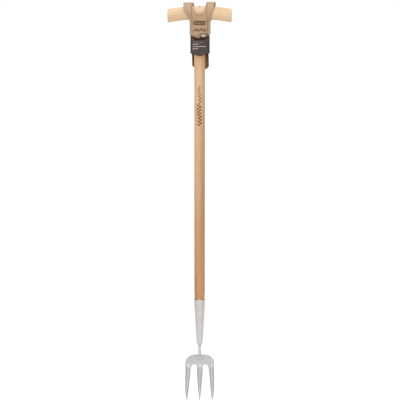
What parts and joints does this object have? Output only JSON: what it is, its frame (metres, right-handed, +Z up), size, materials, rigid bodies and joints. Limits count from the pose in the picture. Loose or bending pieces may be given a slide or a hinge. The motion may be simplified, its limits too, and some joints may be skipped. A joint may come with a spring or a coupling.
{
  "type": "digging fork",
  "caption": "Long-handled digging fork: ash shaft and bowed T crosspiece, conical steel socket, cranked neck, flat pressed head with ridged tines and a folded card hanger.",
  "frame": {"origin": "on the shaft's axis, level with the tips of the tines", "axes": "+Z up along the shaft towards the crosspiece, +X along the crosspiece, -Y out of the front, the side the tine tips curve towards"},
  "size_m": [0.176, 0.0448, 1.0931],
  "materials": {
    "head_steel": "satin",
    "neck_steel": "satin",
    "weld_steel": "satin",
    "socket_steel": "satin",
    "shaft_ash": "satin",
    "crosspiece_ash": "satin",
    "wedge_hardwood": "satin",
    "kraft_card": "matte",
    "dark_card": "matte"
  },
  "bodies": {
    "fork": {"fork_head": "head_steel", "neck": "neck_steel", "head_weld": "weld_steel", "socket_weld": "weld_steel", "socket": "socket_steel", "socket_screw": "socket_steel", "shaft": "shaft_ash", "crosspiece": "crosspiece_ash", "tenon_wedge": "wedge_hardwood", "crosspiece_pin": "wedge_hardwood"},
    "card_sleeve": {"card_hanger": "kraft_card", "card_band": "dark_card"}
  },
  "joints": [
    {"name": "card_slide", "type": "slide", "parent": "fork", "child": "card_sleeve", "axis": [0, 0, 1], "range_m": [-0.009, 0.003], "stiffness_N_per_m": 200}
  ]
}
